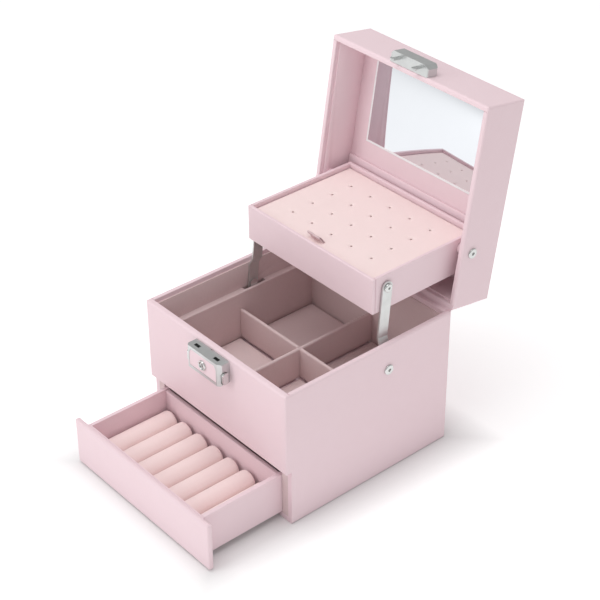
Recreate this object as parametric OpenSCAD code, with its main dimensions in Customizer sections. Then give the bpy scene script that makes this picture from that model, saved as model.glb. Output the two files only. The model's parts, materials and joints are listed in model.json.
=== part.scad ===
/* [Box] */
// Width of the box from side to side
box_w = 175; // [145:1:210]
// Depth of the box from front to back
box_d = 174; // [145:1:210]
// Height of the body below the lid
body_h = 126.5; // [105:0.5:152]
// Thickness of the covered side, rear and lid boards
board_t = 4.5; // [3.7:0.05:5.4]
// Thickness of the front panel
panel_t = 5.2; // [4.3:0.05:6.3]
// Rounding of the outer edges
edge_r = 1.8; // [0.8:0.1:1.8]
// Rounding where the covering is folded over an inner edge
fold_r = 0.8; // [0.4:0.1:1]

/* [Drawer bay] */
// Thickness of the base board
base_t = 5; // [4:0.1:6]
// Height of the bay that the drawer slides in
bay_h = 41; // [34:0.5:49.5]
// Thickness of the shelf board over the bay
shelf_t = 5; // [4:0.1:6]
// Thickness of the boards that guide the drawer's sides
bay_side_t = 7; // [5.5:0.1:8.4]

/* [Compartments] */
// Thickness of the padded rail along each side
rail_t = 7; // [6.8:0.1:8.4]
// Depth of the rails' top below the rim
ledge_drop = 26.5; // [22:0.5:32]
// Thickness of the padded floor
floor_t = 5.5; // [4.5:0.1:6.6]
// Thickness of the velvet lining board
lining_t = 1.3; // [1:0.1:1.6]
// Depth of the lining's edge below the rim
lining_drop = 4; // [3:0.1:5]
// Thickness of the dividers
divider_t = 3.2; // [2.6:0.1:4]
// Height of the dividers above the floor
divider_h = 28; // [23:0.5:34]
// Place of the cross dividers, behind the middle of the box
cross_y = 2; // [-15:0.5:15]

/* [Lid] */
// Height of the lid
lid_h = 41.8; // [34.8:0.1:50.4]
// Gap between the rim and the closed lid
lid_gap = 0.4; // [0.3:0.05:0.5]
// Angle that the lid opens to
lid_angle = 99; // [90:1:105]
// Thickness of the panel inside the lid
lid_panel_t = 3.7; // [3:0.1:4.5]
// Height of the padded batten below that panel
batten_h = 2.5; // [2:0.1:2.6]
// Length of the batten from front to back
batten_l = 11; // [9:0.5:13.5]
// Thickness of the mirror
mirror_t = 2; // [1.6:0.1:2.4]
// How far the mirror stands out of its panel
mirror_proud = 0.2; // [0.1:0.05:0.4]
// Gap between the mirror and the side lining
mirror_side_gap = 15.7; // [13:0.1:19]
// Gap between the mirror and the front lining
mirror_front_gap = 10.5; // [8:0.1:13]
// Gap between the mirror and the batten
mirror_rear_gap = 17; // [14:0.1:21]
// Thickness of the fold hinge's leaves
leaf_t = 0.6; // [0.4:0.05:0.8]
// Height of each leaf
leaf_h = 25.5; // [20:0.5:31]
// Distance of the leaves' ends from the box's sides
leaf_in = 1.6; // [1.5:0.1:12]

/* [Tray] */
// Height of the tray
tray_h = 32; // [26:0.5:38.5]
// Thickness of the tray's walls and floor
tray_t = 3; // [2.5:0.1:3.6]
// Gap between the tray's sides and the lining
tray_side_gap = 6.4; // [6.4:0.1:7.7]
// Gap between the closed tray's front and the lining
tray_front_gap = 23.3; // [20:0.1:29]
// Gap between the closed tray's rear and the lining
tray_rear_gap = 25.4; // [21:0.1:31]
// Gap between the tray's lower rear edge and the open lid
tray_swing_gap = 1; // [0.8:0.1:1.5]
// Distance of the lid's pivots from the tray's rear face
lid_pivot_in = 17.9; // [17:0.1:18]
// Depth of the lid's pivots below the tray's rim
lid_pivot_drop = 8.8; // [8:0.1:8.8]
// Distance of the arms' pivots from the tray's front face
arm_pivot_in = 13.7; // [11:0.1:17]
// Depth of the arms' pivots below the tray's rim
arm_pivot_drop = 11; // [9:0.1:13.5]
// Thickness of the earring pad
pad_t = 4; // [3.2:0.1:4.8]
// Depth of the pad below the tray's rim
pad_drop = 3; // [2.5:0.1:3.6]
// Gap around the pad
pad_gap = 0.3; // [0.25:0.05:0.4]
// Diameter of the holes for earring posts
post_d = 2.8; // [2.3:0.1:3.4]
// Distance between those holes from side to side
post_x = 23.5; // [19.5:0.5:28.5]
// Distance between those holes from front to back
post_y = 21.3; // [17.7:0.1:25.6]
// Width of the tab that lifts the pad
tab_w = 14; // [11.5:0.5:17]

/* [Link arms] */
// Width of the arms
arm_w = 10; // [9:0.1:12]
// Thickness of the arms
arm_t = 1.5; // [1.2:0.1:1.8]
// Gap between the tray and an arm
arm_gap = 0.7; // [0.5:0.1:0.8]
// Gap between an arm's foot and the lining
foot_gap = 0.6; // [0.5:0.1:0.8]
// Length of the foot above the body's pivot
foot_l = 18; // [15:0.5:21.5]
// Length of the bend between the arm's upper part and its foot
bend_l = 7; // [6:0.5:8.5]
// Distance of the body's pivots in front of the raised arms' pivots
body_pivot_in = 6.5; // [5:0.5:8]
// Height of the body's pivots above the rails
body_pivot_up = 2.5; // [2.5:0.1:3.5]
// Room on each side of a pin in the arm's foot
foot_play = 0.5; // [0.45:0.05:0.6]
// Diameter of the body's and the lid's pins
pin_d = 4; // [3.4:0.1:4.8]
// Diameter of the pins between the tray and the arms
arm_pin_d = 3.2; // [2.7:0.1:3.8]
// Room around a pin that turns
running_gap = 0.05; // [0.03:0.01:0.1]
// Diameter of the rivets' outer heads
rivet_d = 9; // [7.5:0.1:10.8]
// Height of the rivets' outer heads
rivet_h = 1.5; // [1.2:0.1:1.8]

/* [Drawer] */
// Height of the drawer's front
drawer_front_h = 43.5; // [40:0.5:45]
// Height of the drawer's front above the ground
drawer_front_up = 0.8; // [0.5:0.1:1]
// Thickness of the drawer's front
drawer_front_t = 4.7; // [4:0.1:4.9]
// Distance that the drawer is pulled out
drawer_pull = 77; // [0:1:92]
// Thickness of the drawer's sides, back and partition
drawer_t = 3.7; // [3.1:0.1:4.4]
// Thickness of the lining board behind the drawer's front
drawer_lining_t = 1.8; // [1.5:0.1:2.2]
// Thickness of the drawer's floor
drawer_floor_t = 3; // [2.5:0.1:3.6]
// Gap between the drawer and the bay's floor and sides
drawer_gap = 0.5; // [0.4:0.05:0.7]
// Gap between the drawer's sides and the shelf
drawer_head = 3; // [2.5:0.1:3.6]
// Gap behind the closed drawer
drawer_rear_gap = 3; // [2.5:0.1:3.6]
// Diameter of the ring rolls
roll_d = 20.2; // [16.8:0.1:24.2]
// Length of the ring rolls
roll_l = 71; // [59:1:85]
// Gap between a ring roll and its neighbours
roll_gap = 0.2; // [0.1:0.05:0.4]
// Rounding of the ring rolls' ends
roll_r = 2.5; // [2:0.1:3]

/* [Lock] */
// Width of the lock's housing
lock_w = 42; // [38:0.5:50]
// Height of the lock's housing
lock_h = 20.5; // [19:0.1:24]
// How far the lock stands out of the front panel
lock_out = 10.5; // [9.5:0.1:12.5]
// Depth of the lock's top below the rim
lock_drop = 2.5; // [2:0.1:3]
// Chamfer of the lock's and the hasp's ends
lock_chamfer = 3; // [2:0.1:4]
// Width of the metal frame around the lock's inlay
inlay_rim = 2.6; // [2:0.1:3]
// Depth of the inlay's recess
inlay_t = 0.8; // [0.6:0.1:1]
// Diameter of the ring around the keyhole
key_ring_d = 9; // [8:0.1:10.8]
// Diameter of the lock's key cylinder
key_d = 5.2; // [4.8:0.1:6.2]
// Width of the buttons from front to back
button_w = 5; // [4.2:0.1:6]
// Height of the buttons
button_h = 10.5; // [9:0.1:12.5]
// How far a button stands out
button_out = 1.8; // [1.7:0.1:2.2]
// Travel of a button
button_travel = 1.5; // [1.2:0.1:1.6]
// Height of the hasp on the lid
hasp_h = 11.5; // [9.6:0.1:13.8]
// Length of the hasp's hooks
hook_l = 8.7; // [7.3:0.1:10.4]
// Width of a hook
hook_w = 4.6; // [3.8:0.1:5]
// Thickness of a hook
hook_t = 1.6; // [1.3:0.1:1.9]
// Distance of a hook from the lock's middle
hook_x = 12; // [10:0.1:14]
// Room around a hook in the lock's slot
hook_gap = 0.7; // [0.6:0.05:0.8]

/* [Hidden] */
$fn = 48;

leather = [0.91, 0.82, 0.84];
velvet = [0.95, 0.85, 0.84];
shaded_velvet = [0.80, 0.69, 0.69];
nickel = [0.80, 0.81, 0.80];
glass = [0.86, 0.92, 0.95];

// Outer faces and the inner faces of the boards
half_w = box_w / 2;
front_y = -box_d / 2;
rear_y = box_d / 2;
side_x = half_w - board_t;
panel_y = front_y + panel_t;
wall_y = rear_y - board_t;
lining_x = side_x - lining_t;
lining_front_y = panel_y + lining_t;
lining_rear_y = wall_y - lining_t;

// Levels in the body
shelf_z = base_t + bay_h;
deck_z = shelf_z + shelf_t;
floor_z = deck_z + floor_t;
ledge_z = body_h - ledge_drop;
lining_z = body_h - lining_drop;
rail_x = side_x - rail_t;
bay_x = side_x - bay_side_t;

// Levels in the closed lid, and the line that it turns about
lid_z = body_h + lid_gap;
lid_top_z = lid_z + lid_h;
lid_board_z = lid_top_z - board_t;
lid_panel_z = lid_board_z - lid_panel_t;
hinge = [rear_y + 0.3, body_h + lid_gap / 2];
lid_lining_front_y = front_y + board_t + lining_t;

// The tray's pivots in the closed lid, as [y, z]
tray_d = lining_rear_y - lining_front_y - tray_rear_gap - tray_front_gap;
below_pivot = tray_h - lid_pivot_drop;
corner_rise = lid_pivot_in * sin(lid_angle) - below_pivot * cos(lid_angle);
lid_pivot = [
  lining_rear_y - tray_rear_gap - lid_pivot_in,
  lid_panel_z - corner_rise - tray_swing_gap
];

// Where a point of the closed lid is after the lid has turned by an angle
function turned(p, angle) = hinge + [
  (p - hinge)[0] * cos(angle) + (p - hinge)[1] * sin(angle),
  (p - hinge)[1] * cos(angle) - (p - hinge)[0] * sin(angle)
];

// The raised tray, whose place is kept to a thousandth of a millimetre
raised_pivot = [for (at = turned(lid_pivot, lid_angle)) round(at * 1000) / 1000];
tray_rear_y = raised_pivot[0] + lid_pivot_in;
tray_front_y = tray_rear_y - tray_d;
tray_top_z = raised_pivot[1] + lid_pivot_drop;
tray_z = tray_top_z - tray_h;
tray_x = lining_x - tray_side_gap;
tray_in_x = tray_x - tray_t;
pad_top_z = tray_top_z - pad_drop;
pad_z = pad_top_z - pad_t;

// The arms hang from the tray, and their feet slide on the body's pins
arm_top = [tray_front_y + arm_pivot_in, tray_top_z - arm_pivot_drop];
body_pivot = [arm_top[0] - body_pivot_in, ledge_z + body_pivot_up];
function reach(angle) =
  norm(arm_top + turned(lid_pivot, angle) - raised_pivot - body_pivot);
reaches = [for (step = [0 : 60]) reach(step / 60 * lid_angle)];
reach_open = reach(lid_angle);
slot_from = min(reaches) - 0.3;
slot_to = max(reaches) + 0.3;
arm_lean = atan2(body_pivot[0] - arm_top[0], arm_top[1] - body_pivot[1]);
arm_x = tray_x + arm_gap;
foot_x = lining_x - foot_gap - arm_t;
foot_end = slot_to + arm_w / 2;
head_gap = 0.4;
head_t = 0.7;
arm_head_t = 1.5;

// The batten starts in front of the lid's pivots, clear of the turning tray
batten_y = lid_pivot[0] - 4.9;

// The drawer, pulled out by drawer_pull
drawer_x = bay_x - drawer_gap;
drawer_in_x = drawer_x - drawer_t;
drawer_z = base_t + drawer_gap;
drawer_in_z = drawer_z + drawer_floor_t;
drawer_top_z = shelf_z - drawer_head;
drawer_front_y = front_y - drawer_pull;
drawer_box_y = drawer_front_y + drawer_front_t;
drawer_in_y = drawer_box_y + drawer_lining_t;
drawer_rear_y = wall_y - drawer_rear_gap - drawer_pull;
roll_pitch = roll_d + roll_gap;
roll_count = floor((2 * drawer_in_x + roll_gap) / roll_pitch);
roll_y = drawer_in_y + 0.5;
partition_y = roll_y + roll_l + 2;

// The lock and the hasp
lock_top_z = body_h - lock_drop;
lock_z = lock_top_z - lock_h;
lock_y = front_y - lock_out;
lock_mid_z = lock_z + lock_h / 2;
hook_y = front_y - lock_out / 2 - 0.3;
hasp_z = lid_z + 0.3;
hasp_out = lock_out - 1;
hook_low_z = hasp_z - hook_l;
button_z = lock_z + 1.8;
button_in_x = lock_w / 2 - 3;

// ---- Shapes that several pieces share ----

// A block between its low and high corners
module block(low, high) {
  translate(low) cube(high - low);
}

module along_x(from, to) {
  translate([from, 0, 0]) rotate([90, 0, 90]) linear_extrude(to - from) children();
}

module along_y(from, to) {
  translate([0, to, 0]) rotate([90, 0, 0]) linear_extrude(to - from) children();
}

module along_z(from, to) {
  translate([0, 0, from]) linear_extrude(to - from) children();
}

// A rectangle between two corners, with its own corners rounded
module rounded(low, high, r) {
  size = high - low;
  translate(low + [r, 0]) square(size - [2 * r, 0]);
  translate(low + [0, r]) square(size - [0, 2 * r]);
  for (x = [low[0] + r, high[0] - r], y = [low[1] + r, high[1] - r])
    translate([x, y]) circle(r);
}

// A board with rounded edges. A 1 in flat_low or flat_high marks a face that joins
// another board, and the edges of that face stay sharp.
module board(low, high, r, flat_low = [0, 0, 0], flat_high = [0, 0, 0]) {
  a = low - 2 * r * flat_low;
  b = high + 2 * r * flat_high;
  intersection() {
    along_x(low[0], high[0]) rounded([a[1], a[2]], [b[1], b[2]], r);
    along_y(low[1], high[1]) rounded([a[0], a[2]], [b[0], b[2]], r);
    along_z(low[2], high[2]) rounded([a[0], a[1]], [b[0], b[1]], r);
  }
}

// A round pin or bore along X, at [y, z]
module pin(from, to, at, d) {
  translate([from, at[0], at[1]]) rotate([0, 90, 0]) cylinder(h = to - from, d = d);
}

// A hollow rivet's domed head on a face at x, with its hole in the middle
module rivet_head(x, at, d, h) {
  translate([x, at[0], at[1]]) rotate([0, 90, 0]) rotate_extrude() intersection() {
    union() {
      translate([d * 0.16, 0]) square([d * 0.34 - h * 0.6, h]);
      translate([d * 0.16, 0]) square([d * 0.34, h * 0.4]);
      translate([d / 2 - h * 0.6, h * 0.4]) circle(h * 0.6);
    }
    square([d, h * 2]);
  }
}

// Moves a piece from the closed lid to the open one
module on_lid() {
  translate([0, hinge[0], hinge[1]]) rotate([-lid_angle, 0, 0])
    translate([0, -hinge[0], -hinge[1]]) children();
}

module on_left() {
  mirror([1, 0, 0]) children();
}

// ---- Body ----

module base_board() {
  color(leather) block([-side_x, panel_y, 0], [side_x, wall_y, base_t]);
}

module side_board_right() {
  low = [side_x, panel_y, 0];
  high = [half_w, rear_y, body_h];
  color(leather) difference() {
    intersection() {
      board(low, high, edge_r, [1, 1, 0]);
      board(low, high, fold_r, [0, 1, 1], [1, 1, 0]);
    }
    pin(side_x - 1, half_w + 1, body_pivot, pin_d);
  }
}

module side_board_left() {
  on_left() side_board_right();
}

module rear_board() {
  color(leather) board([-side_x, wall_y, 0], [side_x, rear_y, body_h], fold_r,
    [1, 0, 1], [1, 0, 0]);
}

module front_panel() {
  low = [-half_w, front_y, deck_z];
  high = [half_w, panel_y, body_h];
  color(leather) intersection() {
    board(low, high, edge_r, [0, 0, 0], [0, 1, 0]);
    board(low, high, fold_r, [1, 1, 0], [1, 0, 0]);
  }
}

module bay_side_right() {
  color(shaded_velvet) block([bay_x, panel_y, base_t], [side_x, wall_y, shelf_z]);
}

module bay_side_left() {
  on_left() bay_side_right();
}

module shelf_board() {
  color(leather) block([-side_x, panel_y, shelf_z], [side_x, wall_y, deck_z]);
}

// The rail's top has a slot for the foot of the link arm
module rail_right() {
  slot_low = [foot_x - 1.3, body_pivot[0] - 10.5, body_pivot[1] - foot_end + reach_open - 4];
  slot_high = [side_x - 0.3, body_pivot[0] + 12.5, ledge_z + 5];
  color(shaded_velvet) difference() {
    board([rail_x, lining_front_y, deck_z], [side_x, lining_rear_y, ledge_z], fold_r,
      [0, 1, 1], [1, 1, 0]);
    board(slot_low, slot_high, fold_r, [0, 0, 0], [1, 0, 0]);
  }
}

module rail_left() {
  on_left() rail_right();
}

module compartment_floor() {
  color(shaded_velvet) block([-rail_x, lining_front_y, deck_z],
    [rail_x, lining_rear_y, floor_z]);
}

module body_lining() {
  color(shaded_velvet) difference() {
    block([-side_x, panel_y, deck_z], [side_x, wall_y, lining_z]);
    block([-side_x - 1, lining_front_y, deck_z - 1], [side_x + 1, lining_rear_y, ledge_z]);
    block([-lining_x, lining_front_y, ledge_z - 1], [lining_x, lining_rear_y, lining_z + 1]);
    pin(-side_x - 1, side_x + 1, body_pivot, pin_d);
  }
}

// A divider's outline, with a rounded top
module divider_outline() {
  translate([-divider_t / 2, floor_z]) square([divider_t, divider_h - divider_t / 2]);
  translate([0, floor_z + divider_h - divider_t / 2]) circle(d = divider_t);
}

module long_divider() {
  color(shaded_velvet) along_y(lining_front_y, lining_rear_y) divider_outline();
}

module cross_divider_right() {
  color(shaded_velvet) along_x(divider_t / 2, rail_x)
    translate([cross_y, 0]) divider_outline();
}

module cross_divider_left() {
  on_left() cross_divider_right();
}

// The body's pin holds the foot of a link arm under its thin inner head
module body_rivet_right() {
  head_x = foot_x - head_gap - head_t;
  color(nickel) {
    pin(head_x, half_w + 0.2, body_pivot, pin_d);
    pin(head_x, head_x + head_t, body_pivot, pin_d + 3.6);
    rivet_head(half_w, body_pivot, rivet_d, rivet_h);
  }
}

module body_rivet_left() {
  on_left() body_rivet_right();
}

// The fold between the leaves is a thin round bead, on the line that the lid turns about
module hinge_leaf_body() {
  fold_d = 0.3;
  color(leather) along_x(leaf_in - half_w, half_w - leaf_in) {
    translate([rear_y, body_h - 0.6 - leaf_h]) square([leaf_t, leaf_h]);
    translate([hinge[0] - fold_d / 2, body_h - 0.7]) square([fold_d, hinge[1] - body_h + 0.7]);
    translate(hinge) circle(d = fold_d);
  }
}

// ---- Lock ----

// Outline of the lock and of the hasp from above, with chamfered outer corners
module clasp_plan(w, out) {
  c = lock_chamfer;
  translate([0, front_y]) polygon([
    [-w / 2, 0], [-w / 2, c - out], [c - w / 2, -out],
    [w / 2 - c, -out], [w / 2, c - out], [w / 2, 0]
  ]);
}

// Outline of the inlay from the front, with a chamfer at each upper corner
module inlay_outline(grow) {
  x = lock_w / 2 - lock_chamfer - inlay_rim / 2 + grow;
  z = lock_h / 2 - inlay_rim + grow;
  translate([0, lock_mid_z]) polygon([
    [-x, -z], [x, -z], [x, z - 3.5], [x - 2, z], [2 - x, z], [-x, z - 3.5]
  ]);
}

// A push button's outline at the end of the lock, as [y, z]
module button_outline(grow) {
  rounded([hook_y - button_w / 2 - grow, button_z - grow],
    [hook_y + button_w / 2 + grow, button_z + button_h + grow], 2);
}

// The slots of the hooks, the pockets of the buttons and the bore of the key cylinder
module lock_housing() {
  slot = [hook_w / 2 + hook_gap, hook_t / 2 + hook_gap];
  color(nickel) difference() {
    intersection() {
      along_z(lock_z, lock_top_z) clasp_plan(lock_w, lock_out);
      along_y(lock_y - 1, front_y)
        rounded([-lock_w / 2, lock_z], [lock_w / 2, lock_top_z], 1.5);
    }
    along_y(lock_y - 1, lock_y + inlay_t) inlay_outline(0);
    for (side = [-1, 1]) {
      block([side * hook_x - slot[0], hook_y - slot[1], hook_low_z - 1.5],
        [side * hook_x + slot[0], hook_y + slot[1], lock_top_z + 1]);
      mirror([side < 0 ? 1 : 0, 0, 0])
        along_x(button_in_x - button_travel - 0.4, lock_w) button_outline(0.3);
    }
    translate([0, lock_y - 1, lock_mid_z]) rotate([-90, 0, 0])
      cylinder(h = 9, d = key_d + 0.6);
    translate([0, front_y, lock_top_z - 2]) cylinder(h = 3, d = 2.4);
  }
}

module lock_inlay() {
  color(leather) difference() {
    along_y(lock_y + 0.2, lock_y + inlay_t) inlay_outline(-0.1);
    translate([0, lock_y - 1, lock_mid_z]) rotate([-90, 0, 0])
      cylinder(h = 9, d = key_ring_d);
  }
}

module lock_ring() {
  bore_r = key_d / 2 + 0.3;
  color(nickel) translate([0, lock_y + inlay_t, lock_mid_z]) rotate([90, 0, 0])
    rotate_extrude() {
      translate([bore_r, 0]) square([key_ring_d / 2 - bore_r, 1.2]);
      translate([(key_ring_d / 2 + bore_r) / 2, 1.2]) circle((key_ring_d / 2 - bore_r) / 2);
    }
}

module lock_cylinder() {
  color(nickel) difference() {
    translate([0, lock_y - 0.4, lock_mid_z]) rotate([-90, 0, 0])
      cylinder(h = 8, d = key_d);
    block([-0.6, lock_y - 1, lock_mid_z - 1.7], [0.6, lock_y + 3, lock_mid_z + 1.7]);
  }
}

module lock_button_right() {
  color(nickel) along_x(button_in_x, lock_w / 2 + button_out) button_outline(0);
}

module lock_button_left() {
  on_left() lock_button_right();
}

// ---- Lid ----

module lid_top_board() {
  color(leather) on_lid() board([-half_w, front_y, lid_board_z],
    [half_w, rear_y, lid_top_z], edge_r, [0, 0, 1]);
}

module lid_front_board() {
  low = [-half_w, front_y, lid_z];
  high = [half_w, front_y + board_t, lid_board_z];
  color(leather) on_lid() intersection() {
    board(low, high, edge_r, [0, 0, 0], [0, 1, 1]);
    board(low, high, fold_r, [1, 1, 0], [1, 0, 1]);
  }
}

module lid_rear_board() {
  low = [-half_w, wall_y, lid_z];
  high = [half_w, rear_y, lid_board_z];
  color(leather) on_lid() intersection() {
    board(low, high, edge_r, [0, 1, 1], [0, 0, 1]);
    board(low, high, fold_r, [1, 0, 0], [1, 0, 1]);
  }
}

module lid_side_right() {
  low = [side_x, front_y + board_t, lid_z];
  high = [half_w, wall_y, lid_board_z];
  color(leather) on_lid() difference() {
    intersection() {
      board(low, high, edge_r, [1, 1, 0], [0, 1, 1]);
      board(low, high, fold_r, [0, 1, 0], [1, 1, 1]);
    }
    pin(side_x - 1, half_w + 1, lid_pivot, pin_d);
  }
}

module lid_side_left() {
  on_left() lid_side_right();
}

module lid_lining() {
  low_z = lid_z + lining_drop;
  color(velvet) on_lid() difference() {
    block([-side_x, front_y + board_t, low_z], [side_x, wall_y, lid_panel_z]);
    block([-lining_x, lid_lining_front_y, low_z - 1],
      [lining_x, lining_rear_y, lid_panel_z + 1]);
    pin(-side_x - 1, side_x + 1, lid_pivot, pin_d);
  }
}

mirror_low = [mirror_side_gap - lining_x, lid_lining_front_y + mirror_front_gap];
mirror_high = [lining_x - mirror_side_gap, batten_y - batten_l - mirror_rear_gap];
mirror_z = lid_panel_z - mirror_proud;

module mirror_panel() {
  color(velvet) on_lid() difference() {
    block([-side_x, front_y + board_t, lid_panel_z], [side_x, wall_y, lid_board_z]);
    block([mirror_low[0], mirror_low[1], lid_panel_z - 1],
      [mirror_high[0], mirror_high[1], mirror_z + mirror_t]);
  }
}

module mirror_glass() {
  color(glass) on_lid() block([mirror_low[0], mirror_low[1], mirror_z],
    [mirror_high[0], mirror_high[1], mirror_z + mirror_t]);
}

module lid_batten() {
  color(velvet) on_lid() board([-lining_x, batten_y - batten_l, lid_panel_z - batten_h],
    [lining_x, batten_y, lid_panel_z], batten_h / 2, [1, 0, 1], [1, 0, 1]);
}

// The lid's pin runs through the lid's side and the spacer into the tray's side
module lid_rivet_right() {
  color(nickel) on_lid() {
    pin(tray_in_x + 0.3, half_w + 0.2, lid_pivot, pin_d);
    rivet_head(half_w, lid_pivot, rivet_d, rivet_h);
  }
}

module lid_rivet_left() {
  on_left() lid_rivet_right();
}

module spacer_right() {
  color(leather) on_lid() difference() {
    pin(tray_x + 0.3, lining_x, lid_pivot, pin_d + 6);
    pin(tray_x, lining_x + 1, lid_pivot, pin_d);
  }
}

module spacer_left() {
  on_left() spacer_right();
}

module hinge_leaf_lid() {
  color(leather) on_lid() block([leaf_in - half_w, rear_y, lid_z + 0.6],
    [half_w - leaf_in, rear_y + leaf_t, lid_z + 0.6 + leaf_h]);
}

// A hook's outline from the front, with its barb towards the lock's end
module hook_outline() {
  w = hook_w / 2;
  polygon([
    [-w, hasp_z + 1], [-w, hook_low_z + 1.5], [1.5 - w, hook_low_z],
    [w - 1.5, hook_low_z], [w, hook_low_z + 2], [w, hook_low_z + 3],
    [w - 1.5, hook_low_z + 3], [w - 1.5, hasp_z + 1]
  ]);
}

module hasp() {
  color(nickel) on_lid() {
    intersection() {
      along_z(hasp_z, hasp_z + hasp_h) clasp_plan(lock_w, hasp_out);
      along_y(lock_y, front_y)
        rounded([-lock_w / 2, hasp_z], [lock_w / 2, hasp_z + hasp_h], 1.5);
    }
    for (side = [-1, 1])
      translate([side * hook_x, 0, 0]) along_y(hook_y - hook_t / 2, hook_y + hook_t / 2)
        mirror([side < 0 ? 1 : 0, 0]) hook_outline();
  }
}

// ---- Tray ----

module tray_front() {
  color(leather) board([-tray_x, tray_front_y, tray_z],
    [tray_x, tray_front_y + tray_t, tray_top_z], fold_r);
}

module tray_rear() {
  color(leather) board([-tray_x, tray_rear_y - tray_t, tray_z],
    [tray_x, tray_rear_y, tray_top_z], fold_r);
}

module tray_side_right() {
  color(leather) difference() {
    board([tray_in_x, tray_front_y + tray_t, tray_z],
      [tray_x, tray_rear_y - tray_t, tray_top_z], fold_r, [0, 1, 0], [0, 1, 0]);
    pin(tray_in_x - 1, tray_x + 1, raised_pivot, pin_d + 2 * running_gap);
    pin(tray_in_x - 1, tray_x + 1, arm_top, arm_pin_d);
  }
}

module tray_side_left() {
  on_left() tray_side_right();
}

module tray_floor() {
  color(leather) block([-tray_in_x, tray_front_y + tray_t, tray_z],
    [tray_in_x, tray_rear_y - tray_t, tray_z + tray_t]);
}

// The lining inside the tray is the ledge that the pad rests on
module tray_lining() {
  ledge_t = 2;
  color(velvet) difference() {
    block([-tray_in_x, tray_front_y + tray_t, tray_z + tray_t],
      [tray_in_x, tray_rear_y - tray_t, pad_z - 0.2]);
    block([ledge_t - tray_in_x, tray_front_y + tray_t + ledge_t, tray_z],
      [tray_in_x - ledge_t, tray_rear_y - tray_t - ledge_t, tray_top_z]);
    pin(-tray_x, tray_x, raised_pivot, pin_d + 1);
  }
}

module arm_rivet_right() {
  color(nickel) {
    pin(tray_in_x, arm_x + arm_t + 0.3, arm_top, arm_pin_d);
    rivet_head(arm_x + arm_t + 0.2, arm_top, 7.6, arm_head_t);
    pin(arm_x + arm_t + 0.2, arm_x + arm_t + 0.8, arm_top, 7);
  }
}

module arm_rivet_left() {
  on_left() arm_rivet_right();
}

module earring_pad() {
  edge_x = tray_in_x - pad_gap;
  edge_y = tray_t + pad_gap;
  mid_y = (tray_front_y + tray_rear_y) / 2;
  color(velvet) difference() {
    board([-edge_x, tray_front_y + edge_y, pad_z], [edge_x, tray_rear_y - edge_y, pad_top_z],
      1.2, [0, 0, 1]);
    for (column = [-2 : 2], row = [-1.5 : 1.5])
      translate([column * post_x, mid_y + row * post_y, pad_z - 1])
        cylinder(h = pad_t + 2, d = post_d);
  }
}

// A folded strip that leans forward over the pad's front edge
module pull_tab() {
  foot = [tray_front_y + 11, pad_top_z];
  color(leather) along_x(-tab_w / 2, tab_w / 2) translate(foot) {
    polygon([[-1.1, 0], [1.4, 0], [-2.6, 5.4], [-4.6, 4.2]]);
    translate([-3.6, 4.8]) circle(d = 2.3);
  }
}

// ---- Link arms ----

// The foot's slot lets the arm slide on the body's pin while the lid moves
module link_arm_right() {
  bend_z = foot_l - reach_open;
  color(nickel) translate([0, arm_top[0], arm_top[1]]) rotate([arm_lean, 0, 0])
    difference() {
      intersection() {
        along_y(-arm_w, arm_w) polygon([
          [arm_x, arm_w], [arm_x, bend_z + bend_l], [foot_x, bend_z], [foot_x, -foot_end - 1],
          [foot_x + arm_t, -foot_end - 1], [foot_x + arm_t, bend_z],
          [arm_x + arm_t, bend_z + bend_l], [arm_x + arm_t, arm_w]
        ]);
        along_x(arm_x - 1, lining_x) {
          circle(d = arm_w);
          translate([-arm_w / 2, -slot_to]) square([arm_w, slot_to]);
          translate([0, -slot_to]) circle(d = arm_w);
        }
      }
      pin(arm_x - 1, foot_x + arm_t + 1, [0, 0], arm_pin_d + 2 * running_gap);
      along_x(foot_x - 1, foot_x + arm_t + 1) {
        for (end = [slot_from, slot_to]) translate([0, -end]) circle(d = pin_d + 2 * foot_play);
        translate([-pin_d / 2 - foot_play, -slot_to])
          square([pin_d + 2 * foot_play, slot_to - slot_from]);
      }
    }
}

module link_arm_left() {
  on_left() link_arm_right();
}

// ---- Drawer ----

module drawer_front() {
  color(leather) board([-half_w, drawer_front_y, drawer_front_up],
    [half_w, drawer_box_y, drawer_front_up + drawer_front_h], edge_r);
}

module drawer_inner_front() {
  color(velvet) block([-drawer_x, drawer_box_y, drawer_z],
    [drawer_x, drawer_in_y, drawer_top_z]);
}

module drawer_side_right() {
  color(leather) board([drawer_in_x, drawer_in_y, drawer_z],
    [drawer_x, drawer_rear_y, drawer_top_z], fold_r, [1, 1, 0], [0, 0, 0]);
}

module drawer_side_left() {
  on_left() drawer_side_right();
}

module drawer_floor() {
  color(velvet) block([-drawer_in_x, drawer_in_y, drawer_z],
    [drawer_in_x, drawer_rear_y - drawer_t, drawer_in_z]);
}

module drawer_back() {
  color(leather) block([-drawer_in_x, drawer_rear_y - drawer_t, drawer_z],
    [drawer_in_x, drawer_rear_y - fold_r, drawer_top_z]);
}

module drawer_partition() {
  color(velvet) block([-drawer_in_x, partition_y, drawer_in_z],
    [drawer_in_x, partition_y + drawer_t, drawer_top_z - 0.8]);
}

// A roll lies along Y, with rounded ends
module ring_roll() {
  rotate([-90, 0, 0]) rotate_extrude() intersection() {
    rounded([-roll_d / 2, 0], [roll_d / 2, roll_l], roll_r);
    square([roll_d, roll_l]);
  }
}

module ring_rolls() {
  color(velvet) for (i = [0 : roll_count - 1])
    translate([(i - (roll_count - 1) / 2) * roll_pitch, roll_y, drawer_in_z + roll_d / 2])
      ring_roll();
}

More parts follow.
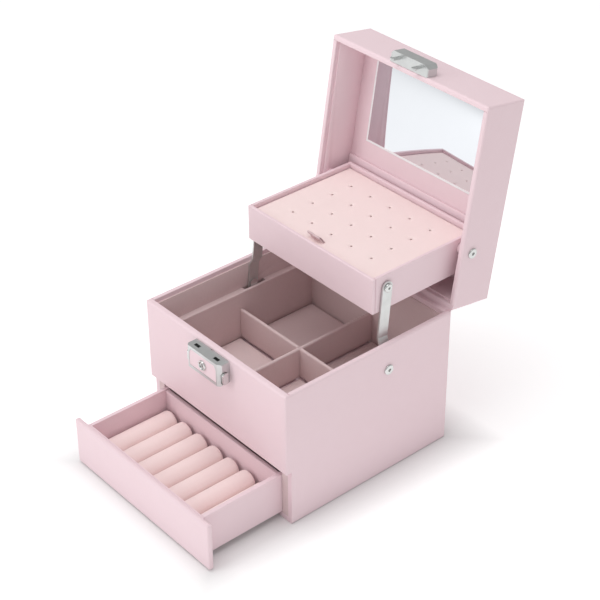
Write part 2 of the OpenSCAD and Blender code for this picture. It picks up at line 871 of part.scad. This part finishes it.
base_board();
side_board_left();
side_board_right();
rear_board();
front_panel();
bay_side_left();
bay_side_right();
shelf_board();
rail_left();
rail_right();
compartment_floor();
body_lining();
long_divider();
cross_divider_left();
cross_divider_right();
body_rivet_left();
body_rivet_right();
hinge_leaf_body();
lock_housing();
lock_inlay();
lock_ring();
lock_cylinder();
lock_button_left();
lock_button_right();
lid_top_board();
lid_front_board();
lid_rear_board();
lid_side_left();
lid_side_right();
lid_lining();
mirror_panel();
mirror_glass();
lid_batten();
lid_rivet_left();
lid_rivet_right();
spacer_left();
spacer_right();
hinge_leaf_lid();
hasp();
tray_front();
tray_rear();
tray_side_left();
tray_side_right();
tray_floor();
tray_lining();
arm_rivet_left();
arm_rivet_right();
earring_pad();
pull_tab();
link_arm_left();
link_arm_right();
drawer_front();
drawer_inner_front();
drawer_side_left();
drawer_side_right();
drawer_back();
drawer_floor();
drawer_partition();
ring_rolls();
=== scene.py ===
"""A pink leathercloth jewelry box: the looks of each piece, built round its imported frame."""

import json
import math

import bpy
from mathutils import Matrix, Vector

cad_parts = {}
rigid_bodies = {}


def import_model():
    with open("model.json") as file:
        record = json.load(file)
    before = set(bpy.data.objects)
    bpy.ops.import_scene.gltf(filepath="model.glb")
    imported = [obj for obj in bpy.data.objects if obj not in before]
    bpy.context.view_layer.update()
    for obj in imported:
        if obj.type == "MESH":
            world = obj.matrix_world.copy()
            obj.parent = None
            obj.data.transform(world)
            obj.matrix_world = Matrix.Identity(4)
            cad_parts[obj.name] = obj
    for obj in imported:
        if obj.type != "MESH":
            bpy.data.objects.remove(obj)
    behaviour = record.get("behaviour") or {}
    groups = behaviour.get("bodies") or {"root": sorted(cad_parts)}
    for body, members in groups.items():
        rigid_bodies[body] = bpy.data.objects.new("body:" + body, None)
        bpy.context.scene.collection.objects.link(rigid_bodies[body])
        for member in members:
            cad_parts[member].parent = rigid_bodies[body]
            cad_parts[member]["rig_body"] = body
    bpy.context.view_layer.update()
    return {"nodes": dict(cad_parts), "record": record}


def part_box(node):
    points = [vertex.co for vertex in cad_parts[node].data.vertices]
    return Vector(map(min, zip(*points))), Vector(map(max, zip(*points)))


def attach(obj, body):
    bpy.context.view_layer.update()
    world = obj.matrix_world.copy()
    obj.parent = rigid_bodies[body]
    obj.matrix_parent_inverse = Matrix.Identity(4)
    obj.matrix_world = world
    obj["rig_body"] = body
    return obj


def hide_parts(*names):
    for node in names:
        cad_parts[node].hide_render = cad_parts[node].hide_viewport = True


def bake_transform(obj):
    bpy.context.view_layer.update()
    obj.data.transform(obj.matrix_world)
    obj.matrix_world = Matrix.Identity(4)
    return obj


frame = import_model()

MM = 0.001
bpy.ops.object.select_all(action="DESELECT")


# ---- Leathercloth boards ----
# The boards of the box, lid, tray and drawer are fibreboard wrapped in pale pink
# leathercloth, which is glued down and folded round every edge. It has a fine pebble grain.

class Wire:
    """One output socket in a finish. Arithmetic on it adds Math nodes."""

    def __init__(self, finish, socket):
        self.finish, self.socket = finish, socket

    def maths(self, operation, a, b=0.0):
        return self.finish.node("ShaderNodeMath", {"operation": operation}, {0: a, 1: b})

    def __add__(self, other): return self.maths("ADD", self, other)
    def __radd__(self, other): return self.maths("ADD", other, self)
    def __sub__(self, other): return self.maths("SUBTRACT", self, other)
    def __rsub__(self, other): return self.maths("SUBTRACT", other, self)
    def __mul__(self, other): return self.maths("MULTIPLY", self, other)
    def __rmul__(self, other): return self.maths("MULTIPLY", other, self)
    def __truediv__(self, other): return self.maths("DIVIDE", self, other)
    def __rtruediv__(self, other): return self.maths("DIVIDE", other, self)


class Finish:
    """A material in the making. node() adds any node to it, and shade() ends it."""

    def __init__(self, name):
        self.material = bpy.data.materials.new(name)
        self.material.use_nodes = True
        self.tree = self.material.node_tree
        self.tree.nodes.clear()
        self.place = self.node("ShaderNodeTexCoord", out="Object")

    def node(self, kind, settings=None, sockets=None, out=0):
        made = self.tree.nodes.new(kind)
        for key, value in (settings or {}).items():
            if key == "stops":
                ramp = made.color_ramp.elements
                while len(ramp) < len(value):
                    ramp.new(0.5)
                for stop, (at, colour) in zip(ramp, value):
                    stop.position, stop.color = at, colour
            else:
                setattr(made, key, value)
        for key, value in (sockets or {}).items():
            if isinstance(value, Wire):
                self.tree.links.new(value.socket, made.inputs[key])
            else:
                made.inputs[key].default_value = value
        return Wire(self, made.outputs[out]) if made.outputs else None

    def noise(self, size, detail=2.0, place=None):
        """Soft random values from 0 to 1, with features of about this size in metres."""
        return self.node("ShaderNodeTexNoise", None,
                         {"Vector": place or self.place, "Scale": 1 / size, "Detail": detail})

    def cells(self, size):
        """Distance to the middle of the nearest pebble, for pebbles of this size in metres."""
        return self.node("ShaderNodeTexVoronoi", None, {"Vector": self.place, "Scale": 1 / size})

    def mix(self, factor, a, b):
        return self.node("ShaderNodeMix", {"data_type": "RGBA"}, {0: factor, 6: a, 7: b}, out=2)

    def bump(self, height, depth, strength=1.0, under=None):
        sockets = {"Height": height, "Distance": depth, "Strength": strength}
        if under:
            sockets["Normal"] = under
        return self.node("ShaderNodeBump", None, sockets)

    def shade(self, **sockets):
        named = {key.replace("_", " "): value for key, value in sockets.items()}
        shader = self.node("ShaderNodeBsdfPrincipled", None, named)
        self.node("ShaderNodeOutputMaterial", None, {"Surface": shader})
        return self.material


def rgb(red, green, blue):
    """A linear colour from 8-bit screen values."""
    def linear(v):
        v /= 255
        return v / 12.92 if v <= 0.04045 else ((v + 0.055) / 1.055) ** 2.4
    return (linear(red), linear(green), linear(blue), 1)


def dress(finish, *nodes):
    """Gives CAD nodes a finish in place of their plain one."""
    for name in nodes:
        for material_slot in frame["nodes"][name].material_slots:
            material_slot.material = finish


def leathercloth(name, light, dark):
    finish = Finish(name)
    cloud = finish.noise(60 * MM, 3)
    patch = finish.noise(9 * MM, 2)
    pebbles = finish.cells(0.9 * MM)
    pores = finish.noise(0.35 * MM, 2)
    waves = finish.noise(14 * MM, 1)
    colour = finish.mix(cloud * 0.6 + patch * 0.4, dark, light)
    colour = finish.mix(pebbles * 0.16, colour, dark)
    soft = finish.bump(waves, 0.35 * MM, 0.35)
    grain = finish.bump(pores * 0.4 - pebbles, 0.09 * MM, 0.55, soft)
    return finish.shade(Base_Color=colour, Roughness=patch * 0.12 + 0.4, Normal=grain,
                        Specular_IOR_Level=0.42, Sheen_Weight=0.04)


leather = leathercloth("pink leathercloth", rgb(243, 220, 226), rgb(238, 212, 218))
dress(leather, "base_board", "side_board_left", "side_board_right", "rear_board", "front_panel",
      "shelf_board", "lid_top_board", "lid_front_board", "lid_rear_board", "lid_side_left",
      "lid_side_right", "spacer_left", "spacer_right", "tray_front", "tray_rear",
      "tray_side_left", "tray_side_right", "tray_floor", "drawer_front", "drawer_side_left",
      "drawer_side_right", "drawer_back", "lock_inlay")


# ---- Lining, rails and dividers ----
# Thin boards wrapped on their own and glued in. Short-pile velvet covers those in the body
# and the tray, and leathercloth those in the lid and the drawer. It rounds off their edges.

def velvet_finish(name, light, dark, sheen):
    finish = Finish(name)
    cloud = finish.noise(25 * MM, 3)
    nap = finish.noise(2.2 * MM, 3)
    pile = finish.noise(0.25 * MM, 2)
    colour = finish.mix(cloud * 0.5 + nap * 0.5, dark, light)
    colour = finish.mix(pile * 0.25, colour, dark)
    brushed = finish.bump(nap, 0.3 * MM, 0.4)
    fuzz = finish.bump(pile, 0.12 * MM, 0.6, brushed)
    return finish.shade(Base_Color=colour, Roughness=nap * 0.08 + 0.86, Normal=fuzz,
                        Specular_IOR_Level=0.2, Sheen_Weight=sheen, Sheen_Roughness=0.45,
                        Sheen_Tint=light)


velvet = velvet_finish("mauve velvet", rgb(231, 211, 211), rgb(219, 197, 197), 0.25)
pale_velvet = velvet_finish("pale pink velvet", rgb(252, 234, 235), rgb(247, 226, 227), 0.2)


def cover(node, width, finish):
    """A copy of a board with its edges rounded by the cover, which stands for the board."""
    bpy.ops.object.select_all(action="DESELECT")
    source = frame["nodes"][node]
    piece = bpy.data.objects.new(node + "_cover", source.data.copy())
    bpy.context.collection.objects.link(piece)
    piece.select_set(True)
    bpy.context.view_layer.objects.active = piece
    bpy.ops.object.mode_set(mode="EDIT")
    bpy.ops.mesh.select_all(action="SELECT")
    bpy.ops.mesh.remove_doubles(threshold=0.01 * MM)
    bpy.ops.mesh.dissolve_limited(angle_limit=math.radians(1))
    bpy.ops.object.mode_set(mode="OBJECT")
    rounding = piece.modifiers.new("rounding", "BEVEL")
    rounding.width = width
    rounding.segments = 3
    rounding.limit_method = "ANGLE"
    rounding.angle_limit = math.radians(50)
    bpy.ops.object.modifier_apply(modifier="rounding")
    bpy.ops.object.shade_smooth_by_angle(angle=math.radians(40))
    piece.data.materials.clear()
    piece.data.materials.append(finish)
    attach(piece, source["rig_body"])
    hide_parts(node)
    return piece


for board in ("body_lining", "rail_left", "rail_right", "long_divider", "cross_divider_left",
              "cross_divider_right"):
    cover(board, 0.5 * MM, velvet)
cover("tray_lining", 0.5 * MM, pale_velvet)
for board in ("lid_lining", "mirror_panel", "drawer_inner_front", "drawer_partition"):
    cover(board, 0.5 * MM, leather)
dress(velvet, "bay_side_left", "bay_side_right")
dress(pale_velvet, "drawer_floor")


# ---- Padded floors of the compartments ----
# Four boards with a thin layer of foam under velvet, pushed in between the dividers. Each
# one is a little full in the middle, and its edges turn down against the walls.

def soft_block(name, low, high):
    """A block between two corners, left selected and active."""
    bpy.ops.object.select_all(action="DESELECT")
    bpy.ops.mesh.primitive_cube_add(size=1)
    piece = bpy.context.object
    piece.name = name
    bpy.ops.object.mode_set(mode="EDIT")
    bpy.ops.transform.resize(value=high - low)
    bpy.ops.transform.translate(value=(low + high) / 2)
    bpy.ops.object.mode_set(mode="OBJECT")
    return piece


PRESSURE = 4
SETTLING_FRAMES = 20


def stuff(piece, voxel, swell, glued=None):
    """Blows the active piece up as a cloth bag, then eases it back so that no point has
    moved further than swell. Points that glued says yes to stay where they are."""
    piece.data.remesh_voxel_size = voxel
    bpy.ops.object.voxel_remesh()
    start = [point.co.copy() for point in piece.data.vertices]
    cloth = piece.modifiers.new("stuffing", "CLOTH")
    cloth.settings.use_pressure = True
    cloth.settings.uniform_pressure_force = PRESSURE
    cloth.settings.effector_weights.gravity = 0
    if glued:
        backing = piece.vertex_groups.new(name="backing")
        backing.add([p.index for p in piece.data.vertices if glued(p.co)], 1, "REPLACE")
        cloth.settings.vertex_group_mass = "backing"
    for moment in range(1, SETTLING_FRAMES + 1):
        bpy.context.scene.frame_set(moment)
    bpy.ops.object.modifier_apply(modifier="stuffing")
    bpy.context.scene.frame_set(1)
    piece.vertex_groups.clear()
    furthest = max((p.co - at).length for p, at in zip(piece.data.vertices, start))
    ease = min(1.0, swell / furthest)
    for point, at in zip(piece.data.vertices, start):
        point.co = at.lerp(point.co, ease)


def smooth_over(piece):
    """Subdivides the active piece once more and shades it smooth."""
    rounder = piece.modifiers.new("rounder", "SUBSURF")
    rounder.levels = rounder.render_levels = 1
    bpy.ops.object.modifier_apply(modifier="rounder")
    bpy.ops.object.shade_smooth()


FLOOR_EDGE_GAP = 0.5 * MM
FLOOR_SWELL = 1.2 * MM
floor_low, floor_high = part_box("compartment_floor")
long_low, long_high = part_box("long_divider")
cross_low, cross_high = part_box("cross_divider_right")
for side, (x_from, x_to) in (("left", (floor_low.x, long_low.x)),
                             ("right", (long_high.x, floor_high.x))):
    for end, (y_from, y_to) in (("front", (floor_low.y, cross_low.y)),
                                ("rear", (cross_high.y, floor_high.y))):
        room = FLOOR_EDGE_GAP + 0.25 * FLOOR_SWELL
        pad = soft_block(f"compartment_pad_{end}_{side}",
                         Vector((x_from + room, y_from + room, floor_low.z)),
                         Vector((x_to - room, y_to - room, floor_high.z - 0.4 * MM)))
        stuff(pad, 2.4 * MM, FLOOR_SWELL, lambda at: at.z < floor_low.z + 0.5 * MM)
        smooth_over(pad)
        pad.data.materials.append(velvet)
        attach(pad, "body")
        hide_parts("compartment_floor")


# ---- Metal fittings ----
# The rivets, keyhole ring and buttons are bright nickel plate. The lock's housing and the
# hasp are satin nickel, and the link arms are stamped from nickel-plated strip.

def plated(name, colour, roughness, streak):
    finish = Finish(name)
    spots = finish.noise(6 * MM, 3)
    stretched = finish.node("ShaderNodeMapping", None,
                            {"Vector": finish.place, "Scale": (1, 1, streak)})
    brushing = finish.noise(0.4 * MM, 2, stretched)
    tone = finish.mix(spots, colour, tuple(0.84 * c for c in colour[:3]) + (1,))
    ripple = finish.bump(brushing, 0.02 * MM, 0.25)
    return finish.shade(Base_Color=tone, Metallic=1.0, Normal=ripple,
                        Roughness=spots * 0.08 + brushing * 0.06 + roughness)


bright_nickel = plated("bright nickel", (0.72, 0.73, 0.72, 1), 0.12, 1.0)
satin_nickel = plated("satin nickel", (0.68, 0.695, 0.69, 1), 0.24, 0.05)
arm_nickel = plated("nickel-plated strip", (0.76, 0.775, 0.765, 1), 0.4, 0.03)
dress(bright_nickel, "body_rivet_left", "body_rivet_right", "lid_rivet_left",
      "lid_rivet_right", "arm_rivet_left", "arm_rivet_right", "lock_ring", "lock_cylinder",
      "lock_button_left", "lock_button_right")
dress(satin_nickel, "lock_housing", "hasp")
dress(arm_nickel, "link_arm_left", "link_arm_right")


# ---- Mirror ----
# A plate of silvered glass glued into the lid's panel, with a ground bevel round its edge.
# It leans back with the open lid, by as much as the lid opens past upright.

BEVEL_WIDTH = 2.0 * MM
BEVEL_RISE = 0.35 * MM
MIRROR_LEAN = math.radians(9)


def glass_finish(name, colour, metallic, roughness):
    finish = Finish(name)
    haze = finish.noise(30 * MM, 3)
    tone = finish.mix(haze, colour, tuple(min(1, 1.04 * c) for c in colour[:3]) + (1,))
    return finish.shade(Base_Color=tone, Metallic=metallic, Roughness=haze * 0.02 + roughness)


silvered_glass = glass_finish("silvered glass", (0.72, 0.74, 0.77, 1), 1.0, 0.004)
ground_glass = glass_finish("ground glass bevel", (0.95, 0.965, 0.975, 1), 0.0, 0.25)
mirror = cover("mirror_glass", 0.15 * MM, silvered_glass)
mirror.name = "mirror"
mirror.data.materials.append(ground_glass)
facing = Vector((0, -math.cos(MIRROR_LEAN), math.sin(MIRROR_LEAN)))
for face in mirror.data.polygons:
    face.select = face.normal.dot(facing) > 0.999
bpy.ops.object.mode_set(mode="EDIT")
bpy.ops.mesh.select_mode(type="FACE")
bpy.ops.mesh.inset(thickness=BEVEL_WIDTH, depth=0)
bpy.ops.transform.translate(value=facing * BEVEL_RISE)
bpy.ops.object.mode_set(mode="OBJECT")
for face in mirror.data.polygons:
    face.material_index = 0 if face.select or face.normal.dot(facing) < 0.9 else 1


# ---- Earring pad ----
# A thin board with foam and peach velvet over it, pierced with four rows of five holes for
# earring posts. The cover is drawn down into each hole.

PAD_SWELL = 0.9 * MM
PAD_SIDE_ROOM = 0.45 * MM
HOLE_COLUMN, HOLE_ROW, HOLE_WIDTH = 23.5 * MM, 21.3 * MM, 2.2 * MM
DIMPLE_DEPTH, DIMPLE_REACH = 0.75 * MM, 2.0 * MM
peach_velvet = velvet_finish("peach velvet", rgb(251, 232, 230), rgb(247, 225, 223), 0.15)
pad_low, pad_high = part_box("earring_pad")
pad_middle = (pad_low + pad_high) / 2
holes = [Vector((pad_middle.x + column * HOLE_COLUMN, pad_middle.y + row * HOLE_ROW, 0))
         for column in (-2, -1, 0, 1, 2) for row in (-1.5, -0.5, 0.5, 1.5)]
pad = soft_block("padded_earring_board",
                 pad_low + Vector((PAD_SIDE_ROOM, PAD_SIDE_ROOM, 0)),
                 pad_high - Vector((PAD_SIDE_ROOM, PAD_SIDE_ROOM, 0.5 * MM)))
stuff(pad, 1.7 * MM, PAD_SWELL, lambda at: at.z < pad_low.z + 0.6 * MM)
smooth_over(pad)
for point in pad.data.vertices:
    if point.co.z > pad_middle.z:
        near = min(math.hypot(point.co.x - hole.x, point.co.y - hole.y) for hole in holes)
        point.co.z -= DIMPLE_DEPTH * math.exp(-(near / DIMPLE_REACH) ** 2)

bpy.ops.object.select_all(action="DESELECT")
bpy.ops.mesh.primitive_cylinder_add(vertices=16, radius=HOLE_WIDTH / 2, depth=12 * MM,
                                    location=holes[0] + Vector((0, 0, pad_middle.z)))
piercer = bpy.context.object
bpy.ops.object.transform_apply(location=True)
bpy.ops.object.mode_set(mode="EDIT")
step = Vector((0, 0, 0))
for hole in holes[1:]:
    bpy.ops.mesh.duplicate_move(TRANSFORM_OT_translate={"value": hole - holes[0] - step})
    step = hole - holes[0]
bpy.ops.object.mode_set(mode="OBJECT")
bpy.ops.object.select_all(action="DESELECT")
pad.select_set(True)
bpy.context.view_layer.objects.active = pad
pierce = pad.modifiers.new("pierce", "BOOLEAN")
pierce.operation = "DIFFERENCE"
pierce.object = piercer
bpy.ops.object.modifier_apply(modifier="pierce")
bpy.data.objects.remove(piercer)
bpy.ops.object.shade_smooth_by_angle(angle=math.radians(50))
pad.data.materials.clear()
pad.data.materials.append(peach_velvet)
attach(pad, "earring_pad")
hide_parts("earring_pad")


# ---- Padded batten ----
# A strip of wood with foam and leathercloth round it, glued across the lid below the mirror.
# Foam under the cover rounds its front, and its back is flat on the lid's panel.

BATTEN_SWELL = 0.5 * MM
batten = cover("lid_batten", 0.6 * MM, leather)
batten.name = "padded_batten"
batten_back = min(point.co.dot(facing) for point in batten.data.vertices)
stuff(batten, 1.2 * MM, BATTEN_SWELL, lambda at: at.dot(facing) < batten_back + 0.6 * MM)
smooth_over(batten)


# ---- Pull tab ----
# A strip of leathercloth folded double into a flat loop. Its ends go down through a slit
# in the pad, and it leans forward over the pad's front edge.

TAB_THICKNESS = 0.7 * MM
TAB_SLANT = 3.5 * MM
TAB_RIPPLE, TAB_DIP = 0.9 * MM, 0.5 * MM
# Painted shade: the tab's leathercloth is darker than the boards' to stand in for the shade on
# the leaning tab.
shaded_tab_leather = leathercloth("shaded tab leathercloth", rgb(222, 196, 198), rgb(212, 186, 188))


def strip(name, path, x_from, x_to, thickness):
    """A strip of leathercloth that follows a path, from one x to another, and its length."""
    bpy.ops.object.select_all(action="DESELECT")
    bpy.ops.mesh.primitive_grid_add(x_subdivisions=12, y_subdivisions=1, size=1)
    piece = bpy.context.object
    piece.name = name
    bpy.ops.object.mode_set(mode="EDIT")
    bpy.ops.mesh.select_mode(type="VERT")
    bpy.ops.mesh.select_all(action="SELECT")
    bpy.ops.transform.resize(value=(x_to - x_from, 0, 0))
    bpy.ops.mesh.remove_doubles(threshold=0.01 * MM)
    bpy.ops.transform.translate(value=((x_from + x_to) / 2, path[0].y, path[0].z))
    for last, at in zip(path, path[1:]):
        bpy.ops.mesh.extrude_region_move(TRANSFORM_OT_translate={"value": at - last})
    bpy.ops.mesh.select_all(action="SELECT")
    bpy.ops.mesh.normals_make_consistent(inside=False)
    bpy.ops.object.mode_set(mode="OBJECT")
    length = sum((at - last).length for last, at in zip(path, path[1:]))
    board = piece.modifiers.new("thickness", "SOLIDIFY")
    board.thickness, board.offset = thickness, 0
    bpy.ops.object.modifier_apply(modifier="thickness")
    edges = piece.modifiers.new("cut edges", "BEVEL")
    edges.width, edges.segments = 0.2 * thickness, 2
    edges.limit_method, edges.angle_limit = "ANGLE", math.radians(60)
    bpy.ops.object.modifier_apply(modifier="cut edges")
    bpy.ops.object.shade_smooth_by_angle(angle=math.radians(60))
    return piece, length


tab_low, tab_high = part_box("pull_tab")
tab_height = tab_high.z - tab_low.z
tab_foot = Vector((0, tab_high.y - 1.3 * MM, tab_low.z))
tab_path = [tab_foot + Vector((0, y, z)) * tab_height for y, z in (
    (0.12, -0.25), (0.10, 0.00), (0.04, 0.22), (-0.06, 0.44), (-0.18, 0.64), (-0.32, 0.82),
    (-0.42, 0.90), (-0.51, 0.90), (-0.56, 0.83), (-0.54, 0.74), (-0.42, 0.58), (-0.30, 0.40),
    (-0.21, 0.20), (-0.16, 0.00), (-0.14, -0.25))]
tab, tab_length = strip("folded_tab", tab_path, tab_low.x, tab_high.x, TAB_THICKNESS)
for point in tab.data.vertices:
    rise = max(0.0, (point.co.z - tab_low.z) / tab_height)
    ripple = math.sin((point.co.x - tab_low.x) / (tab_high.x - tab_low.x) * 2.2 * math.pi)
    point.co.x -= TAB_SLANT * rise
    point.co.y += TAB_RIPPLE * rise * ripple
    point.co.z -= TAB_DIP * rise * (1 + ripple)
tab.data.materials.append(shaded_tab_leather)
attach(tab, "earring_pad")
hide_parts("pull_tab")


# ---- Fold hinge ----
# One strip of leathercloth, glued to the rear of the body and to the rear of the lid. The
# lid turns about the fold between them, which lies in a soft bend while the lid is open.

HINGE_THICKNESS = 0.5 * MM
BEND_REACH = 1.6 * MM
lid_joint = next(j for j in frame["record"]["behaviour"]["joints"] if j["name"] == "lid_hinge")
fold = Vector((0, lid_joint["pos_m"][1], lid_joint["pos_m"][2]))
opened = math.radians(-lid_joint["range_deg"][0])
along_lid = Vector((0, math.sin(opened), math.cos(opened)))
leaf_low, leaf_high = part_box("hinge_leaf_body")
leaf_length = fold.z - leaf_low.z
bend_radius = BEND_REACH / math.tan((math.pi - opened) / 2)
bend_middle = fold + Vector((0, bend_radius, -BEND_REACH))
hinge_path = [Vector((0, fold.y, leaf_low.z + (leaf_length - BEND_REACH) * i / 6))
              for i in range(7)]
for i in range(1, 9):
    turned_by = opened * i / 8
    hinge_path.append(bend_middle + bend_radius * Vector(
        (0, -math.cos(turned_by), math.sin(turned_by))))
lid_start = fold + along_lid * BEND_REACH
hinge_path += [lid_start + along_lid * (leaf_length - BEND_REACH) * i / 6 for i in range(1, 7)]
hinge, hinge_length = strip("fold_hinge", hinge_path, leaf_low.x, leaf_high.x, HINGE_THICKNESS)
hinge.data.materials.append(leather)
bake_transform(hinge)
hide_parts("hinge_leaf_body", "hinge_leaf_lid")


# ---- Ring rolls ----
# Seven foam rolls covered in peach velvet, lying side by side across the front of the
# drawer. Rings stand in the slots between them. The cover is glued over each round end.

ROLL_SWELL = 0.45 * MM
ROLL_END_ROUND = 2.4 * MM
rolls_low, rolls_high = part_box("ring_rolls")
roll_width = rolls_high.z - rolls_low.z
roll_count = round((rolls_high.x - rolls_low.x) / roll_width)
roll_pitch = (rolls_high.x - rolls_low.x - roll_width) / (roll_count - 1)
roll_length = rolls_high.y - rolls_low.y
first_roll = Vector((rolls_low.x + roll_width / 2, (rolls_low.y + rolls_high.y) / 2,
                     (rolls_low.z + rolls_high.z) / 2))
bpy.ops.object.select_all(action="DESELECT")
bpy.ops.mesh.primitive_cylinder_add(vertices=40, radius=roll_width / 2 - ROLL_SWELL,
                                    depth=roll_length - 2 * ROLL_SWELL)
roll = bpy.context.object
roll.name = "ring_roll_1"
bpy.ops.object.mode_set(mode="EDIT")
bpy.ops.transform.rotate(value=math.pi / 2, orient_axis="X", center_override=(0, 0, 0))
bpy.ops.transform.translate(value=first_roll)
bpy.ops.mesh.select_mode(type="EDGE")
bpy.ops.mesh.select_all(action="DESELECT")
bpy.ops.object.mode_set(mode="OBJECT")
for edge in roll.data.edges:
    ends = [roll.data.vertices[i].co.y for i in edge.vertices]
    edge.select = abs(ends[0] - ends[1]) < 1 * MM
bpy.ops.object.mode_set(mode="EDIT")
bpy.ops.mesh.bevel(offset=ROLL_END_ROUND, segments=4, affect="EDGES")
bpy.ops.object.mode_set(mode="OBJECT")
stuff(roll, 1.9 * MM, ROLL_SWELL)
smooth_over(roll)
roll.data.materials.append(peach_velvet)
rolls = [roll]
for number in range(2, roll_count + 1):
    bpy.ops.object.select_all(action="DESELECT")
    rolls[-1].select_set(True)
    bpy.context.view_layer.objects.active = rolls[-1]
    bpy.ops.object.duplicate()
    following = bpy.context.object
    following.name = f"ring_roll_{number}"
    axis = first_roll + Vector(((number - 2) * roll_pitch, 0, 0))
    bpy.ops.object.mode_set(mode="EDIT")
    bpy.ops.mesh.select_all(action="SELECT")
    bpy.ops.transform.rotate(value=math.radians(100), orient_axis="Y", center_override=axis)
    bpy.ops.transform.translate(value=(roll_pitch, 0, 0))
    bpy.ops.object.mode_set(mode="OBJECT")
    rolls.append(following)
for roll in rolls:
    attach(roll, "drawer")
    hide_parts("ring_rolls")


# ---- Floor, light and camera ----
# A white table under soft studio light. One lamp hangs over the box and a weaker one stands
# in front of it on the left, so the box's right side stays a little darker. The table has a
# painted glow away from the box, which keeps it white, and the glow fades out near the box,
# which paints a soft shadow where the box stands.

FLOOR_SIZE = 8.0
SHADOW_REACH = 38 * MM
TABLE_GLOW = 0.36
DAYLIGHT = 0.53
footprint_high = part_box("front_panel")[1]
footprint_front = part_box("drawer_front")[0].y
footprint_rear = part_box("rear_board")[1].y
floor_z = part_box("base_board")[0].z - 0.2 * MM
bpy.ops.object.select_all(action="DESELECT")
bpy.ops.mesh.primitive_plane_add(size=FLOOR_SIZE, location=(0, 0, floor_z))
table = bpy.context.object
table.name = "floor"
white = Finish("white table")
across = white.node("ShaderNodeSeparateXYZ", None, {"Vector": white.place}, out="X")
along = white.node("ShaderNodeSeparateXYZ", None, {"Vector": white.place}, out="Y")
beside = across.maths("ABSOLUTE", across) - footprint_high.x
before = footprint_front - along
behind = along - footprint_rear
# Painted light and painted shadow: the glow is none at the box's footprint and full from
# SHADOW_REACH out.
away = across.maths("MAXIMUM", beside, across.maths("MAXIMUM", before, behind))
away = across.maths("MINIMUM", across.maths("MAXIMUM", away / SHADOW_REACH, 0.0), 1.0)
glow = away * TABLE_GLOW
painted_glow = white.mix(glow, (0, 0, 0, 1), (1, 1, 1, 1))
table.data.materials.append(white.shade(
    Base_Color=(0.9, 0.9, 0.9, 1), Roughness=0.9, Specular_IOR_Level=0.1,
    Emission_Color=painted_glow, Emission_Strength=1.0))

world = bpy.data.worlds.new("studio")
bpy.context.scene.world = world
world.use_nodes = True
world.node_tree.nodes["Background"].inputs["Color"].default_value = (1.0, 0.995, 0.995, 1)
world.node_tree.nodes["Background"].inputs["Strength"].default_value = DAYLIGHT
bpy.context.scene.view_settings.view_transform = "Standard"
bpy.context.scene.view_settings.look = "None"


def lamp(name, power, size, place, target):
    """A square softbox that faces a target."""
    light = bpy.data.lights.new(name, "AREA")
    light.energy = power
    light.size = size
    holder = bpy.data.objects.new(name, light)
    bpy.context.collection.objects.link(holder)
    holder.location = place
    holder.rotation_euler = (Vector(target) - Vector(place)).to_track_quat("-Z", "Y").to_euler()


lamp("top softbox", 11.0, 1.1, (-0.15, -0.25, 1.75), (0, 0, 0.1))
lamp("front softbox", 5.9, 0.9, (-0.6, -1.6, 0.95), (0, 0, 0.1))

AZIMUTH, ELEVATION, ROLL = math.radians(49.51), math.radians(33.73), math.radians(-0.34)
DISTANCE = 1.3069
LENS_MM = 98.0
aim = Vector((2.84 * MM, 0, 133.42 * MM))
toward = Vector((math.sin(AZIMUTH) * math.cos(ELEVATION),
                 -math.cos(AZIMUTH) * math.cos(ELEVATION), math.sin(ELEVATION)))
level = Vector((math.cos(AZIMUTH), math.sin(AZIMUTH), 0))
upright = toward.cross(level)
right = level * math.cos(ROLL) + upright * math.sin(ROLL)
up = upright * math.cos(ROLL) - level * math.sin(ROLL)
camera_data = bpy.data.cameras.new("camera")
camera_data.lens = LENS_MM
camera_data.sensor_width = 36
camera = bpy.data.objects.new("camera", camera_data)
bpy.context.collection.objects.link(camera)
turn = Matrix((right, up, toward)).transposed().to_4x4()
camera.matrix_world = Matrix.Translation(aim + toward * DISTANCE) @ turn
bpy.context.scene.camera = camera
